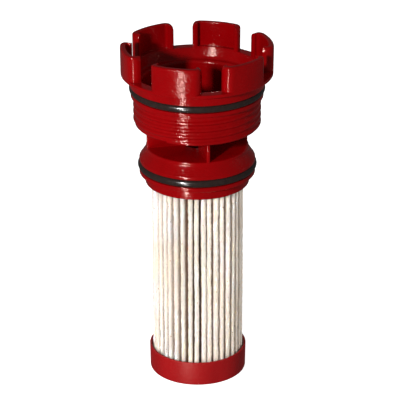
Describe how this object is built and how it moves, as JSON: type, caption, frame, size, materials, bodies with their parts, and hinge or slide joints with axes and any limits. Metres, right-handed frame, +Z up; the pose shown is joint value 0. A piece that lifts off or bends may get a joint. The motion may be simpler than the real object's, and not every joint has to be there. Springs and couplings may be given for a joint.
{
  "type": "fuel filter",
  "caption": "Screw-in fuel filter element: castellated threaded head with seals and an outlet cage, carrying a pleated paper cartridge with a plain lower end cap.",
  "frame": {"origin": "centre of the flat bottom face of the lower end cap", "axes": "+Z up the filter's axis towards the tabs, -Y towards the middle of one of the crown's six slots and along one web of the outlet cage"},
  "size_m": [0.054, 0.0538, 0.1258],
  "materials": {
    "red_plastic": "glossy moulded",
    "red_end_cap_plastic": "satin moulded",
    "seal_rubber": "smooth, lightly oiled",
    "filter_paper": "pleated, fibrous",
    "adhesive": "cured adhesive",
    "black_plastic": "moulded grid"
  },
  "bodies": {
    "root": {"threaded_head": "red_plastic", "upper_o_ring": "seal_rubber", "lower_o_ring": "seal_rubber", "upper_end_cap": "red_plastic", "upper_bond": "adhesive", "pleated_paper": "filter_paper", "seam_strip": "adhesive", "core_tube": "black_plastic", "lower_bond": "adhesive", "lower_end_cap": "red_end_cap_plastic"}
  },
  "joints": []
}
